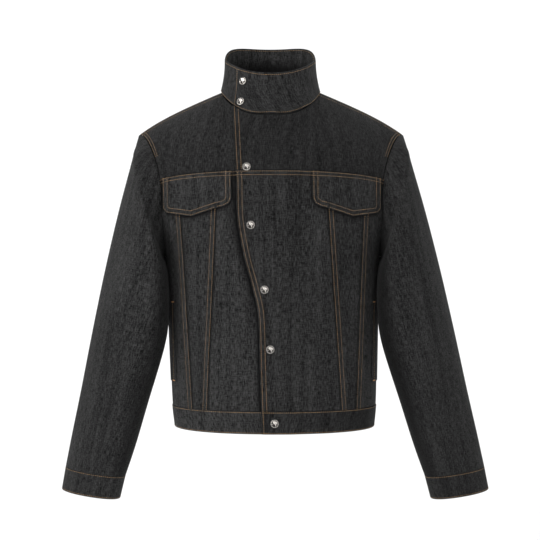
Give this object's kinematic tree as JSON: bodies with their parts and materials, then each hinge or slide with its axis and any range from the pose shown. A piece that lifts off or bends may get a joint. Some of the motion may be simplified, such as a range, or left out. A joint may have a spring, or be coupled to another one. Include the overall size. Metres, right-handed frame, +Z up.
{
  "type": "denim jacket",
  "caption": "Hip-length denim jacket with a standing collar, curved snap-fastened front, pointed pocket flaps, plain cuffs and waistband, filled out as if worn.",
  "frame": {"origin": "at the base of the neck, level with the neck end of the shoulder seams and midway between the shoulders, where the wearer's shoulders hold the jacket up", "axes": "+Z up, the front faces -Y, the wearer's left is +X"},
  "size_m": [0.779, 0.2671, 0.8348],
  "materials": {
    "denim": "raw charcoal denim with a fine slubby twill",
    "thread": "matt tan topstitching thread",
    "bartack_thread": "matt orange-tan bartack thread",
    "snap_metal": "aged silver with a worked relief"
  },
  "bodies": {
    "root": {"back": "denim", "collar": "denim", "waistband": "denim", "left_centre_front": "denim", "left_middle_front": "denim", "left_side_front": "denim", "left_front_yoke": "denim", "left_pocket_flap": "denim", "left_pocket_welt": "denim", "left_sleeve": "denim", "left_cuff": "denim", "right_centre_front": "denim", "right_middle_front": "denim", "right_side_front": "denim", "right_front_yoke": "denim", "right_pocket_flap": "denim", "right_pocket_welt": "denim", "right_sleeve": "denim", "right_cuff": "denim", "snap_1": "snap_metal", "snap_2": "snap_metal", "snap_3": "snap_metal", "snap_4": "snap_metal", "snap_5": "snap_metal", "snap_6": "snap_metal", "snap_7": "snap_metal"}
  },
  "joints": []
}
